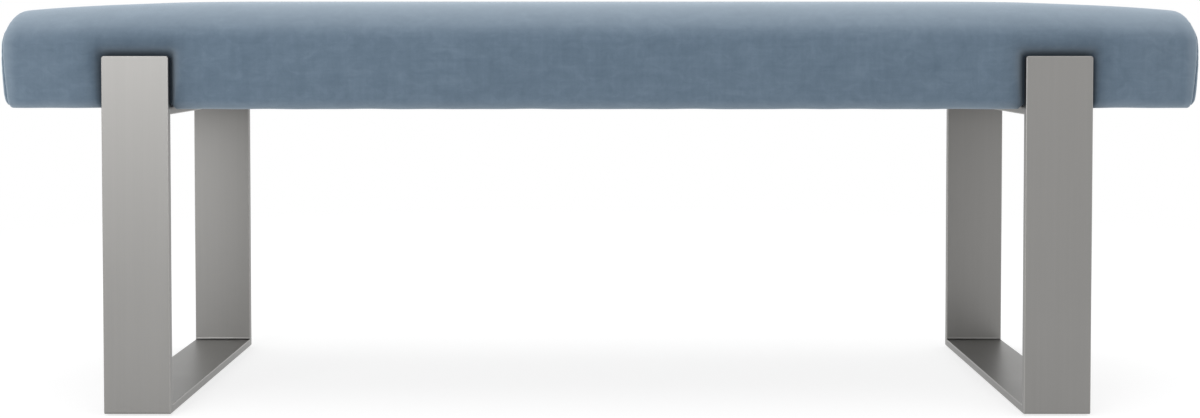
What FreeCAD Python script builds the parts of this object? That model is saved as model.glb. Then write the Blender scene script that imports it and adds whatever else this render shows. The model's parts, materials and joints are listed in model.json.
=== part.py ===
import FreeCAD, Part
import os
from math import atan2, cos, hypot, pi, sin, sqrt

import Sketcher
from FreeCAD import Placement, Rotation, Vector

# Upholstered bench: a long crowned cushion on a plywood board, screwed down between the uprights
# of two welded flat-bar frames. X runs along the bench, the front is -Y and Z points up.
# The origin is on the floor under the middle of the bench. All lengths are in millimetres.

# Driving dimensions: alias, value, meaning
SIZES = [
    ("bench_length", 1372, "cushion, over its bulged ends"),
    ("frame_depth", 450, "over the front and rear uprights"),
    ("frame_setback", 162.5, "end of the cushion to the middle of each frame"),
    ("upright_top", 410, "top of the uprights above the floor"),
    ("seat_rest_height", 352.8, "top of the crossbars above the floor"),
    ("bar_width", 76, "flat bar, wide side"),
    ("bar_thickness", 9.5, "flat bar, thin side"),
    ("bar_edge_radius", 1, "eased long edges of the bars"),
    ("heel_radius", 2.5, "outer lower edge of each upright"),
    ("upright_corner_radius", 3, "top corners of the uprights"),
    ("saddle_radius", 12, "weld in the corner above the crossbar"),
    ("weld_radius", 2.5, "weld in the other inner corners"),
    ("glide_diameter", 28, "floor pad"),
    ("glide_thickness", 2, "floor pad"),
    ("glide_setback", 34, "frame face to glide centre"),
    ("cushion_height", 122.7, "underside of the cover to its crown"),
    ("crown_rise", 12, "fall of the top from the middle line to the front edge"),
    ("end_rise", 8, "fall of the top towards each end"),
    ("end_rise_span", 190, "length over which the top falls"),
    ("face_bulge", 2.5, "bulge of the front and rear faces"),
    ("end_bulge", 4.5, "bulge of the ends"),
    ("front_edge_radius", 38, "rounding of the top front and rear edges"),
    ("end_edge_radius", 28, "rounding of the top edge at each end"),
    ("low_edge_radius", 11, "rounding of the lower edges"),
    ("corner_radius", 22, "upright corners of the cushion, seen from above"),
    ("seam_inset", 9, "end of the cushion to the end seam"),
    ("cover_thickness", 1.5, "velvet with its backing"),
    ("cover_margin", 45, "cover turned under the board"),
    ("batting_thickness", 5, "wadding"),
    ("batting_stop", 12, "lower edge of the wadding above the underside of the cover"),
    ("form_stand_off", 1, "front view and plan outside the section, where they don't shape the cushion"),
    ("layer_gap", 0.3, "clearance between soft layers and beside the uprights"),
    ("board_thickness", 19, "plywood"),
    ("board_round_over", 5, "lower edge of the board"),
    ("dust_cover_thickness", 0.5, "cloth under the board"),
    ("dust_cover_setback", 20, "edge of the cushion to the edge of the dust cover"),
    ("screw_spacing_x", 24, "seat screws, along the bench"),
    ("screw_setback", 65.5, "inner face of the uprights to the seat screws"),
    ("screw_diameter", 8, "seat screw shank"),
    ("screw_length", 25, "seat screw under its head"),
    ("screw_point", 1, "bevel at the tip of a seat screw"),
    ("screw_head_diameter", 14, "button head"),
    ("screw_head_height", 4.4, "button head"),
    ("socket_width", 5, "hexagon socket across its flats"),
    ("socket_depth", 2.6, "hexagon socket"),
    ("hole_clearance", 0.5, "round the shank in the crossbar and the dust cover"),
    ("washer_diameter", 16, "plain washer"),
    ("washer_thickness", 1.6, "plain washer"),
    ("nut_flange_diameter", 22, "flanged seat nut"),
    ("nut_flange_thickness", 1.5, "flanged seat nut"),
    ("nut_barrel_diameter", 10, "flanged seat nut"),
    ("nut_length", 14, "flanged seat nut, over its flange"),
    ("nut_clearance", 0.1, "round the nut in the board, and round the shank in the nut"),
    ("staple_width", 10, "crown of a staple"),
    ("staple_leg", 8, "leg of a staple"),
    ("staple_wire", 0.6, "thickness of the staple wire"),
    ("staple_wire_width", 1.2, "width of the staple wire"),
    ("cover_staple_setback", 38, "edge of the cushion to the cover staples"),
    ("cover_staple_spacing", 60, "between cover staples"),
    ("dust_staple_setback", 27, "edge of the cushion to the dust cover staples"),
    ("dust_staple_spacing", 84, "between dust cover staples"),
]

doc = FreeCAD.newDocument("upholstered_bench")
sheet = doc.addObject("Spreadsheet::Sheet", "Sizes")
for row, (alias, number, meaning) in enumerate(SIZES, start=1):
    sheet.set(f"A{row}", alias)
    sheet.set(f"B{row}", str(number))
    sheet.set(f"C{row}", meaning)
    sheet.setAlias(f"B{row}", alias)
doc.recompute()

# Sizes and levels that follow from the driving dimensions
INNER_DEPTH = "(Sizes.frame_depth - 2 * Sizes.bar_thickness)"
FRAME_X = "(Sizes.bench_length / 2 - Sizes.frame_setback)"
SCREW_SPACING_Y = f"({INNER_DEPTH} - 2 * Sizes.screw_setback)"
UPRIGHT_LENGTH = "(Sizes.upright_top - Sizes.glide_thickness)"
CROSSBAR_UNDERSIDE = "(Sizes.seat_rest_height - Sizes.bar_thickness)"
RUNNER_TOP = "(Sizes.glide_thickness + Sizes.bar_thickness)"
WELD_LENGTH = "(Sizes.bar_width - 2 * Sizes.bar_edge_radius)"
CUSHION_DEPTH = f"({INNER_DEPTH} - 2 * Sizes.layer_gap)"
CUSHION_LOW = "(Sizes.seat_rest_height + Sizes.dust_cover_thickness)"
LAYERS = "(Sizes.cover_thickness + Sizes.batting_thickness + 2 * Sizes.layer_gap)"
BOARD_LENGTH = f"(Sizes.bench_length - 2 * (Sizes.end_bulge + {LAYERS}))"
BOARD_DEPTH = f"({CUSHION_DEPTH} - 2 * (Sizes.face_bulge + {LAYERS}))"
BOARD_UNDERSIDE = f"({CUSHION_LOW} + Sizes.cover_thickness)"
BOARD_TOP = f"({BOARD_UNDERSIDE} + Sizes.board_thickness)"
BOARD_CORNER = f"(Sizes.corner_radius - {LAYERS})"
SCREW_HOLE = "(Sizes.screw_diameter + 2 * Sizes.hole_clearance)"
BARREL_HOLE = "(Sizes.nut_barrel_diameter + 2 * Sizes.nut_clearance)"
FLANGE_HOLE = "(Sizes.nut_flange_diameter + 2 * Sizes.nut_clearance)"
FLANGE_RECESS = "Sizes.nut_flange_thickness"
SIDES = [("left", "-1"), ("right", "1")]
TOLERANCE = 1e-6


def value(expression):
    return float(sheet.evalExpression(expression))


# Sketches and features

def plane_of(body, role):
    return next(item for item in body.Origin.OriginFeatures if item.Role == role)


def new_body(name):
    body = doc.addObject("PartDesign::Body", name)
    body.AllowCompound = True
    return body


def new_sketch(body, name, role, offset=None):
    """A sketch on one of the body's own origin planes; offset gives expressions for its shift."""
    sketch = body.newObject("Sketcher::SketchObject", name)
    sketch.AttachmentSupport = [(plane_of(body, role), "")]
    sketch.MapMode = "FlatFace"
    for axis, expression in (offset or {}).items():
        sketch.setExpression(f".AttachmentOffset.Base.{axis}", expression)
    return sketch


def bind(sketch, constraint, name, expression):
    index = sketch.addConstraint(constraint)
    sketch.renameConstraint(index, name)
    sketch.setExpression(f"Constraints.{name}", expression)


def closed_lines(sketch, points):
    """A closed polygon; returns the index of its first line."""
    first = sketch.GeometryCount
    count = len(points)
    for i in range(count):
        a, b = points[i], points[(i + 1) % count]
        sketch.addGeometry(Part.LineSegment(Vector(*a, 0), Vector(*b, 0)))
    for i in range(count):
        sketch.addConstraint(Sketcher.Constraint("Coincident", first + i, 2, first + (i + 1) % count, 1))
    return first


def rectangle(sketch, width, depth):
    """A rectangle centred on the sketch's origin; width and depth are expressions."""
    half_width, half_depth = value(width) / 2, value(depth) / 2
    corners = [(-half_width, -half_depth), (half_width, -half_depth),
               (half_width, half_depth), (-half_width, half_depth)]
    first = closed_lines(sketch, corners)
    for side in (0, 2):
        sketch.addConstraint(Sketcher.Constraint("Horizontal", first + side))
    for side in (1, 3):
        sketch.addConstraint(Sketcher.Constraint("Vertical", first + side))
    sketch.addConstraint(Sketcher.Constraint("Symmetric", first, 1, first + 1, 2, -1, 1))
    bind(sketch, Sketcher.Constraint("DistanceX", first, 1, first, 2, 2 * half_width), "width", width)
    bind(sketch, Sketcher.Constraint("DistanceY", first + 1, 1, first + 1, 2, 2 * half_depth), "depth", depth)


def circle_grid(sketch, diameter):
    """Four circles at the corners of the screw pattern, centred on the sketch's origin."""
    u, v = value("Sizes.screw_spacing_x / 2"), value(f"{SCREW_SPACING_Y} / 2")
    for x, y in ((u, v), (-u, v), (-u, -v), (u, -v)):
        sketch.addGeometry(Part.Circle(Vector(x, y, 0), Vector(0, 0, 1), value(diameter) / 2))
    bind(sketch, Sketcher.Constraint("Diameter", 0, value(diameter)), "hole", diameter)
    for other in (1, 2, 3):
        sketch.addConstraint(Sketcher.Constraint("Equal", 0, other))
    bind(sketch, Sketcher.Constraint("DistanceX", -1, 1, 0, 3, u), "along", "Sizes.screw_spacing_x / 2")
    bind(sketch, Sketcher.Constraint("DistanceY", -1, 1, 0, 3, v), "across", f"{SCREW_SPACING_Y} / 2")
    sketch.addConstraint(Sketcher.Constraint("Symmetric", 0, 3, 2, 3, -1, 1))
    sketch.addConstraint(Sketcher.Constraint("Symmetric", 0, 3, 1, 3, -2))
    sketch.addConstraint(Sketcher.Constraint("Symmetric", 0, 3, 3, 3, -1))


def turned_profile(sketch, corners):
    """A closed profile to turn about the sketch's upright axis: (radius, height) expressions."""
    points = [(value(radius), value(height)) for radius, height in corners]
    first = closed_lines(sketch, points)
    for i, (radius, height) in enumerate(corners):
        line = first + i
        if radius == "0":
            sketch.addConstraint(Sketcher.Constraint("PointOnObject", line, 1, -2))
        else:
            out = Sketcher.Constraint("DistanceX", -1, 1, line, 1, points[i][0])
            bind(sketch, out, f"radius_{i}", radius)
        if height == "0":
            sketch.addConstraint(Sketcher.Constraint("PointOnObject", line, 1, -1))
        else:
            up = Sketcher.Constraint("DistanceY", -1, 1, line, 1, points[i][1])
            bind(sketch, up, f"height_{i}", height)


def hexagon(sketch, width):
    """A hexagon of the given width across its flats, centred on the sketch's origin."""
    radius = f"{width} / sqrt(3)"
    reach = value(radius)
    points = [(reach * cos(k * pi / 3), reach * sin(k * pi / 3)) for k in range(6)]
    first = closed_lines(sketch, points)
    rim = sketch.addGeometry(Part.Circle(Vector(0, 0, 0), Vector(0, 0, 1), reach), True)
    sketch.addConstraint(Sketcher.Constraint("Coincident", rim, 3, -1, 1))
    bind(sketch, Sketcher.Constraint("Radius", rim, reach), "reach", radius)
    for i in range(6):
        sketch.addConstraint(Sketcher.Constraint("PointOnObject", first + i, 1, rim))
    for i in range(1, 5):
        sketch.addConstraint(Sketcher.Constraint("Equal", first, first + i))
    sketch.addConstraint(Sketcher.Constraint("PointOnObject", first, 1, -1))


def bead_profile(sketch, name, corner_v, radius, up):
    """Section of a concave weld in the corner between a bar and the inner face of an upright."""
    u, v, r = -value(INNER_DEPTH) / 2, value(corner_v), value(radius)
    first = sketch.GeometryCount
    corner, foot, wall = Vector(u, v, 0), Vector(u + r, v, 0), Vector(u, v + up * r, 0)
    start = pi if up > 0 else pi / 2
    ring = Part.Circle(Vector(u + r, v + up * r, 0), Vector(0, 0, 1), r)
    sketch.addGeometry(Part.LineSegment(wall, corner))
    sketch.addGeometry(Part.LineSegment(corner, foot))
    sketch.addGeometry(Part.ArcOfCircle(ring, start, start + pi / 2))
    wall_end, foot_end = (1, 2) if up > 0 else (2, 1)
    arc = first + 2
    sketch.addConstraint(Sketcher.Constraint("Coincident", first, 2, first + 1, 1))
    sketch.addConstraint(Sketcher.Constraint("Coincident", first, 1, arc, wall_end))
    sketch.addConstraint(Sketcher.Constraint("Coincident", first + 1, 2, arc, foot_end))
    sketch.addConstraint(Sketcher.Constraint("Vertical", first))
    sketch.addConstraint(Sketcher.Constraint("Horizontal", first + 1))
    sketch.addConstraint(Sketcher.Constraint("Horizontal", arc, 3, arc, wall_end))
    sketch.addConstraint(Sketcher.Constraint("Vertical", arc, 3, arc, foot_end))
    bind(sketch, Sketcher.Constraint("Radius", arc, r), f"{name}_radius", radius)
    across = Sketcher.Constraint("DistanceX", -1, 1, first, 2, u)
    level = Sketcher.Constraint("DistanceY", -1, 1, first, 2, v)
    bind(sketch, across, f"{name}_across", f"-{INNER_DEPTH} / 2")
    bind(sketch, level, f"{name}_level", corner_v)


def pad(body, name, sketch, length, both_ways=True):
    feature = body.newObject("PartDesign::Pad", name)
    feature.Profile = sketch
    feature.SideType = "Symmetric" if both_ways else "One side"
    feature.setExpression("Length", length)
    doc.recompute()
    return feature


def pocket(body, name, sketch, depth=None, reverse=False):
    """Cut the sketch out of the body, right through or to a depth, and check that it cut."""
    before = body.Shape.Volume
    feature = body.newObject("PartDesign::Pocket", name)
    feature.Profile = sketch
    feature.Reversed = reverse
    if depth is None:
        feature.Type = "ThroughAll"
        feature.SideType = "Symmetric"
    else:
        feature.setExpression("Length", depth)
    doc.recompute()
    if not body.Shape.Volume < before:
        raise RuntimeError(f"{body.Name}.{name} cuts nothing")
    return feature


def round_edges(body, name, radius, picked):
    """Fillet the edges of the body that picked(edge) accepts."""
    base = body.Tip
    edges = [f"Edge{i}" for i, edge in enumerate(base.Shape.Edges, start=1) if picked(edge)]
    feature = body.newObject("PartDesign::Fillet", name)
    feature.Base = (base, edges)
    feature.setExpression("Radius", radius)
    doc.recompute()
    return feature


def turn(body, name, sketch):
    feature = body.newObject("PartDesign::Revolution", name)
    feature.Profile = sketch
    feature.ReferenceAxis = (sketch, ["V_Axis"])
    feature.Angle = 360
    doc.recompute()
    return feature


def repeat(body, name, originals, axis, length):
    """A second copy of the features, a length away along one of the body's own axes."""
    feature = body.newObject("PartDesign::LinearPattern", name)
    feature.Originals = originals
    feature.Direction = (plane_of(body, axis), [""])
    feature.setExpression("Length", length)
    feature.Occurrences = 2
    body.Tip = feature
    doc.recompute()
    return feature


def place(item, along="0", across="0", up="0"):
    item.setExpression(".Placement.Base.x", along)
    item.setExpression(".Placement.Base.y", across)
    item.setExpression(".Placement.Base.z", up)


def spans(edge, axis):
    """How far the edge reaches along x, y or z."""
    box = edge.BoundBox
    return {"x": box.XLength, "y": box.YLength, "z": box.ZLength}[axis]


# Frames

def upright(name, along, across, turned):
    """Wide flat bar on end, with rounded top corners, a rounded heel and eased edges.

    The heel faces the front, or the rear when the bar is turned about.
    """
    body = new_body(name)
    outline = new_sketch(body, f"{name}_outline", "XZ_Plane")
    rectangle(outline, "Sizes.bar_width", UPRIGHT_LENGTH)
    pad(body, f"{name}_bar", outline, "Sizes.bar_thickness")
    thickness = value("Sizes.bar_thickness")
    top = value(UPRIGHT_LENGTH) / 2

    def crosses_thickness(edge):
        return abs(spans(edge, "y") - thickness) < TOLERANCE

    def at_heel(edge):
        box = edge.BoundBox
        return box.ZMax < TOLERANCE - top and box.YMax < TOLERANCE - thickness / 2

    def on_flat_side(edge):
        box = edge.BoundBox
        level = box.YLength < TOLERANCE and abs(abs(box.YMin) - thickness / 2) < TOLERANCE
        above_heel = box.YMin > 0 or box.ZMin > value("Sizes.heel_radius") - top - TOLERANCE
        return level and above_heel

    round_edges(body, f"{name}_top_corners", "Sizes.upright_corner_radius",
                lambda edge: crosses_thickness(edge) and edge.BoundBox.ZMin > top - TOLERANCE)
    round_edges(body, f"{name}_heel", "Sizes.heel_radius", at_heel)
    round_edges(body, f"{name}_eased_edges", "Sizes.bar_edge_radius", on_flat_side)
    body.Placement = Placement(Vector(), Rotation(Vector(0, 0, 1), 180 if turned else 0))
    place(body, along, across, f"Sizes.glide_thickness + {UPRIGHT_LENGTH} / 2")
    return body


def cross_member(name, along, underside, holes):
    """Flat bar that lies between the front and rear uprights."""
    body = new_body(name)
    outline = new_sketch(body, f"{name}_outline", "XY_Plane")
    rectangle(outline, "Sizes.bar_width", INNER_DEPTH)
    pad(body, f"{name}_bar", outline, "Sizes.bar_thickness")
    length = value(INNER_DEPTH)
    round_edges(body, f"{name}_eased_edges", "Sizes.bar_edge_radius",
                lambda edge: abs(spans(edge, "y") - length) < TOLERANCE)
    if holes:
        circles = new_sketch(body, f"{name}_holes", "XY_Plane")
        circle_grid(circles, SCREW_HOLE)
        pocket(body, f"{name}_drilling", circles)
    place(body, along, "0", f"{underside} + Sizes.bar_thickness / 2")
    return body


def frame_welds(name, along):
    """Saddle welds above the crossbar and small welds in the other inner corners."""
    body = new_body(name)
    sections = new_sketch(body, f"{name}_sections", "YZ_Plane")
    bead_profile(sections, "saddle", "Sizes.seat_rest_height", "Sizes.saddle_radius", 1)
    bead_profile(sections, "under", CROSSBAR_UNDERSIDE, "Sizes.weld_radius", -1)
    bead_profile(sections, "runner", RUNNER_TOP, "Sizes.weld_radius", 1)
    front = pad(body, f"{name}_front", sections, WELD_LENGTH)
    rear = body.newObject("PartDesign::Mirrored", f"{name}_rear")
    rear.Originals = [front]
    rear.MirrorPlane = (plane_of(body, "XZ_Plane"), [""])
    body.Tip = rear
    doc.recompute()
    place(body, along)
    return body


def glides(name, along):
    """Thin round floor pads near the two ends of the frame."""
    body = new_body(name)
    reach = "(Sizes.frame_depth / 2 - Sizes.glide_setback)"
    section = new_sketch(body, f"{name}_section", "XZ_Plane", {"z": reach})
    radius, thickness = "Sizes.glide_diameter / 2", "Sizes.glide_thickness"
    turned_profile(section, [("0", "0"), (f"{radius} - {thickness} / 2", "0"),
                             (radius, f"{thickness} / 2"), (radius, thickness), ("0", thickness)])
    disc = turn(body, f"{name}_disc", section)
    repeat(body, f"{name}_pair", [disc], "Y_Axis", f"2 * {reach}")
    place(body, along)
    return body


# Seat fasteners, in a two by two pattern over each crossbar

def fastener_group(name, along, level, corners):
    """Four turned pieces; corners are (radius, height) expressions above the level."""
    body = new_body(name)
    section = new_sketch(body, f"{name}_section", "XZ_Plane",
                         {"x": "-Sizes.screw_spacing_x / 2", "z": f"{SCREW_SPACING_Y} / 2"})
    turned_profile(section, corners)
    turned = turn(body, f"{name}_turned", section)
    place(body, along, "0", level)
    return body, turned


def four_of(body, originals):
    """Repeat the first fastener along the bench and then across it."""
    pair = body.newObject("PartDesign::MultiTransform", f"{body.Name}_pattern")
    pair.Originals = originals
    steps = []
    for axis, length in (("X_Axis", "Sizes.screw_spacing_x"), ("Y_Axis", SCREW_SPACING_Y)):
        step = body.newObject("PartDesign::LinearPattern", f"{body.Name}_{axis[0].lower()}")
        step.Direction = (plane_of(body, axis), [""])
        step.setExpression("Length", length)
        step.Occurrences = 2
        steps.append(step)
    pair.Transformations = steps
    body.Tip = pair
    doc.recompute()


def seat_screws(name, along):
    """Button-head screws with a hexagon socket, up through the crossbar into the seat nuts."""
    shank, head = "Sizes.screw_diameter / 2", "Sizes.screw_head_diameter / 2"
    under_head = "(-Sizes.washer_thickness)"
    crown = "(-Sizes.washer_thickness - Sizes.screw_head_height)"
    tip = "(Sizes.screw_length - Sizes.washer_thickness)"
    # The button head is a dome in three steps: shares of its radius and of its height.
    dome = [(f"{head} * {across}", f"-Sizes.washer_thickness - Sizes.screw_head_height * {down}")
            for across, down in ((0.6, 1), (0.84, 0.88), (0.97, 0.55))]
    point = "Sizes.screw_point"
    body, turned = fastener_group(name, along, CROSSBAR_UNDERSIDE, [
        ("0", crown), *dome, (head, under_head), (shank, under_head), (shank, f"{tip} - {point}"),
        (f"{shank} - {point}", tip), ("0", tip)])
    socket = new_sketch(body, f"{name}_socket", "XY_Plane",
                        {"x": "-Sizes.screw_spacing_x / 2", "y": f"-{SCREW_SPACING_Y} / 2", "z": crown})
    hexagon(socket, "Sizes.socket_width")
    cut = pocket(body, f"{name}_hexagon", socket, "Sizes.socket_depth", reverse=True)
    four_of(body, [turned, cut])
    return body


def seat_washers(name, along):
    inner, outer = f"{SCREW_HOLE} / 2", "Sizes.washer_diameter / 2"
    lower = "(-Sizes.washer_thickness)"
    body, turned = fastener_group(name, along, CROSSBAR_UNDERSIDE,
                                  [(inner, lower), (outer, lower), (outer, "0"), (inner, "0")])
    four_of(body, [turned])
    return body


def seat_nuts(name, along):
    """Flanged nuts let into the top of the board."""
    bore = "(Sizes.screw_diameter / 2 + Sizes.nut_clearance)"
    barrel, flange = "Sizes.nut_barrel_diameter / 2", "Sizes.nut_flange_diameter / 2"
    seat = "(-Sizes.nut_flange_thickness)"
    foot = "(-Sizes.nut_length)"
    body, turned = fastener_group(name, along, BOARD_TOP, [
        (bore, foot), (barrel, foot), (barrel, seat), (flange, seat), (flange, "0"), (bore, "0")])
    four_of(body, [turned])
    return body


# Staples: each is one bent wire, and the layers are cut to take them

def staple(x, y, level, turned):
    """One staple with its crown at the level and its legs pointing up."""
    wide, leg = value("Sizes.staple_width") / 2, value("Sizes.staple_leg")
    wire, depth = value("Sizes.staple_wire"), value("Sizes.staple_wire_width")
    outline = [(-wide, 0), (wide, 0), (wide, leg), (wide - wire, leg), (wide - wire, wire),
               (wire - wide, wire), (wire - wide, leg), (-wide, leg), (-wide, 0)]
    face = Part.Face(Part.makePolygon([Vector(u, -depth / 2, w) for u, w in outline]))
    solid = face.extrude(Vector(0, depth, 0))
    solid.Placement = Placement(Vector(x, y, level), Rotation(Vector(0, 0, 1), 90 if turned else 0))
    return solid


def staple_slots(groups):
    return Part.makeCompound([solid for group in groups for solid in group.Shape.Solids])


def stations(reach, spacing):
    """Evenly spaced places between -reach and reach, centred on zero."""
    count = int(2 * reach // spacing) + 1
    return [(i - (count - 1) / 2) * spacing for i in range(count)]


def staple_rows(name, level, setback, spacing, keep_clear):
    """Rows of staples along the four edges, left out over the crossbars when keep_clear is set."""
    half_length = value("Sizes.bench_length") / 2 - setback
    half_depth = value(CUSHION_DEPTH) / 2 - setback
    corner_room = value("Sizes.staple_width") + value("Sizes.staple_wire_width")
    frame_x = value(FRAME_X)
    bar_zone = value("Sizes.bar_width") / 2 + value("Sizes.staple_width")
    staples = []
    for x in stations(half_length - corner_room, spacing):
        if keep_clear and abs(abs(x) - frame_x) < bar_zone:
            continue
        staples += [staple(x, side * half_depth, level, False) for side in (-1, 1)]
    for y in stations(half_depth - corner_room, spacing):
        staples += [staple(side * half_length, y, level, True) for side in (-1, 1)]
    group = doc.addObject("Part::Feature", name)
    group.Shape = Part.makeCompound(staples)
    return group


# Crowned forms of the cushion

def on_circle(centre, radius, angle):
    return centre[0] + radius * cos(angle), centre[1] + radius * sin(angle)


def arc_radius(half_chord, rise):
    return (half_chord ** 2 + rise ** 2) / (2 * rise)


def crowned_outline(half, low, high, flat_half, rise, bulge, top_radius, inset, to_point):
    """Closed wire, alike to left and right: level underside, bulged sides and a crowned top.

    inset draws the whole outline in by that much, and to_point turns (across, up) into a point.
    """
    low_radius = value("Sizes.low_edge_radius")
    middle = (low + high) / 2
    side_radius = arc_radius((high - low) / 2, bulge)
    side_centre = (half - side_radius, middle)
    crown_radius = arc_radius(half - flat_half, rise)
    crown_centre = (flat_half, high - crown_radius)

    # The top corner's arc touches the side's arc and the crown's arc from inside.
    from_side, from_crown = side_radius - top_radius, crown_radius - top_radius
    gap_u, gap_v = crown_centre[0] - side_centre[0], crown_centre[1] - side_centre[1]
    gap = hypot(gap_u, gap_v)
    along = (gap ** 2 + from_side ** 2 - from_crown ** 2) / (2 * gap)
    off = sqrt(from_side ** 2 - along ** 2)
    top_corner = (side_centre[0] + (along * gap_u - off * gap_v) / gap,
                  side_centre[1] + (along * gap_v + off * gap_u) / gap)
    low_corner_v = low + low_radius
    low_corner = (side_centre[0] + sqrt((side_radius - low_radius) ** 2 - (low_corner_v - middle) ** 2),
                  low_corner_v)

    low_turn = atan2(low_corner[1] - side_centre[1], low_corner[0] - side_centre[0])
    top_turn = atan2(top_corner[1] - side_centre[1], top_corner[0] - side_centre[0])
    crown_turn = atan2(top_corner[1] - crown_centre[1], top_corner[0] - crown_centre[0])
    arcs = [(low_corner, low_radius - inset, -pi / 2, low_turn),
            (side_centre, side_radius - inset, low_turn, top_turn),
            (top_corner, top_radius - inset, top_turn, crown_turn),
            (crown_centre, crown_radius - inset, crown_turn, pi / 2)]
    edges = []
    for mirror in (1, -1):
        for centre, radius, start, end in arcs:
            points = [on_circle(centre, radius, angle) for angle in (start, (start + end) / 2, end)]
            edges.append(Part.Arc(*[to_point(mirror * u, v) for u, v in points]).toShape())
    edges.append(Part.makeLine(to_point(-low_corner[0], low + inset), to_point(low_corner[0], low + inset)))
    if flat_half > 0:
        edges.append(Part.makeLine(to_point(-flat_half, high - inset), to_point(flat_half, high - inset)))
    return Part.Wire(Part.__sortEdges__(edges))


def rounded_plan(half_length, half_depth, radius):
    """Rounded rectangle seen from above, at height zero."""
    x, y = half_length - radius, half_depth - radius
    corners = [((x, y), 0), ((-x, y), pi / 2), ((-x, -y), pi), ((x, -y), 3 * pi / 2)]
    edges = []
    last = None
    for centre, start in corners + corners[:1]:
        points = [Vector(*on_circle(centre, radius, start + turn_by), 0) for turn_by in (0, pi / 4, pi / 2)]
        if last:
            edges.append(Part.makeLine(last, points[0]))
        if len(edges) < 8:
            edges.append(Part.Arc(*points).toShape())
        last = points[2]
    return Part.Wire(Part.__sortEdges__(edges))


def cushion_form(inset):
    """The cushion's outer form, drawn in by inset: what its section, front view and plan share."""
    half_length, half_depth = value("Sizes.bench_length") / 2, value(CUSHION_DEPTH) / 2
    low = value(CUSHION_LOW)
    high = low + value("Sizes.cushion_height")
    # The front view and the plan stand off where the section alone makes the face.
    stand_off = value("Sizes.form_stand_off")
    section = crowned_outline(half_depth, low, high, 0, value("Sizes.crown_rise"),
                              value("Sizes.face_bulge"), value("Sizes.front_edge_radius"), inset,
                              lambda u, v: Vector(-half_length - stand_off, u, v))
    front = crowned_outline(half_length, low - stand_off, high + stand_off,
                            half_length - value("Sizes.end_rise_span"), value("Sizes.end_rise"),
                            value("Sizes.end_bulge"), value("Sizes.end_edge_radius"), inset,
                            lambda u, v: Vector(u, -half_depth - stand_off, v))
    plan = rounded_plan(half_length + stand_off - inset, half_depth + stand_off - inset,
                        value("Sizes.corner_radius") - inset)
    plan.translate(Vector(0, 0, low - stand_off))
    bodies = [Part.Face(section).extrude(Vector(2 * (half_length + stand_off), 0, 0)),
              Part.Face(front).extrude(Vector(0, 2 * (half_depth + stand_off), 0)),
              Part.Face(plan).extrude(Vector(0, 0, high - low + 3 * stand_off))]
    return bodies[0].common(bodies[1]).common(bodies[2])


def centred_box(half_x, half_y, low, high):
    return Part.makeBox(2 * half_x, 2 * half_y, high - low, Vector(-half_x, -half_y, low))


def between_seams():
    """Everything between the two end seams, which run alongside the bulged ends."""
    half_length, half_depth = value("Sizes.bench_length") / 2, value("Sizes.frame_depth") / 2
    low = value(CUSHION_LOW)
    high = low + value("Sizes.cushion_height")
    middle = (low + high) / 2
    ring = arc_radius((high - low) / 2, value("Sizes.end_bulge"))
    radius = ring - value("Sizes.seam_inset")
    centre = (half_length - ring, middle)
    reach = atan2(high - low, radius)
    sides = []
    for mirror in (1, -1):
        points = [on_circle(centre, radius, angle) for angle in (-reach, 0, reach)]
        sides.append([Vector(mirror * u, -half_depth, v) for u, v in points])
    right, left = sides
    edges = [Part.Arc(*right).toShape(), Part.makeLine(right[2], left[2]),
             Part.Arc(*left).toShape(), Part.makeLine(left[0], right[0])]
    return Part.Face(Part.Wire(Part.__sortEdges__(edges))).extrude(Vector(0, 2 * half_depth, 0))


def feature(name, shape):
    """A sub-part whose solid is made directly."""
    item = doc.addObject("Part::Feature", name)
    item.Shape = shape
    return item


def foam_core():
    form = cushion_form(value(LAYERS))
    top = value(BOARD_TOP)
    below = centred_box(value("Sizes.bench_length"), value("Sizes.frame_depth"), 0, top)
    return feature("foam_core", form.cut(below))


def batting_wrap():
    """Wadding over the top and down the four sides, open below."""
    skin = value("Sizes.cover_thickness") + value("Sizes.layer_gap")
    shell = cushion_form(skin).cut(cushion_form(skin + value("Sizes.batting_thickness")))
    stop = value(CUSHION_LOW) + value("Sizes.batting_stop")
    below = centred_box(value("Sizes.bench_length"), value("Sizes.frame_depth"), 0, stop)
    return feature("batting_wrap", shell.cut(below))


def cover_panels(staples):
    """The velvet: a main panel over front, top and back, and an end panel sewn on at each end."""
    thickness, margin = value("Sizes.cover_thickness"), value("Sizes.cover_margin")
    half_length, half_depth = value("Sizes.bench_length") / 2, value(CUSHION_DEPTH) / 2
    low = value(CUSHION_LOW)
    shell = cushion_form(0).cut(cushion_form(thickness))
    opening = centred_box(half_length - margin, half_depth - margin, low - thickness, low + 2 * thickness)
    shell = shell.cut(opening)
    # The ends' turned-under margin belongs to the end panels, short of the corners.
    seams = between_seams()
    corner = value("Sizes.low_edge_radius") + value("Sizes.corner_radius")
    margins = centred_box(half_length, half_depth - corner, low - thickness, low + thickness)
    inner_length = half_length - margin - thickness
    margins = margins.cut(centred_box(inner_length, half_depth, low - thickness, low + thickness))
    main = shell.common(seams.cut(margins))
    ends = shell.cut(seams).fuse(shell.common(seams).common(margins)).removeSplitter()
    left, right = sorted(ends.Solids, key=lambda solid: solid.CenterOfMass.x)
    panels = [("cover_main_panel", main), ("cover_left_end_panel", left), ("cover_right_end_panel", right)]
    slots = staple_slots(staples)
    return [feature(name, panel.removeSplitter().cut(slots)) for name, panel in panels]


# Board and dust cover

def seat_nut_holes(body, side, sign, role_depths):
    """Cut one pattern of round holes per (name, diameter, depth) into the top of the board."""
    for name, diameter, depth in role_depths:
        circles = new_sketch(body, f"{side}_{name}", "XY_Plane",
                             {"x": f"{sign} * {FRAME_X}", "z": "Sizes.board_thickness / 2"})
        circle_grid(circles, diameter)
        pocket(body, f"{side}_{name}_cut", circles, depth)


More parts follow.
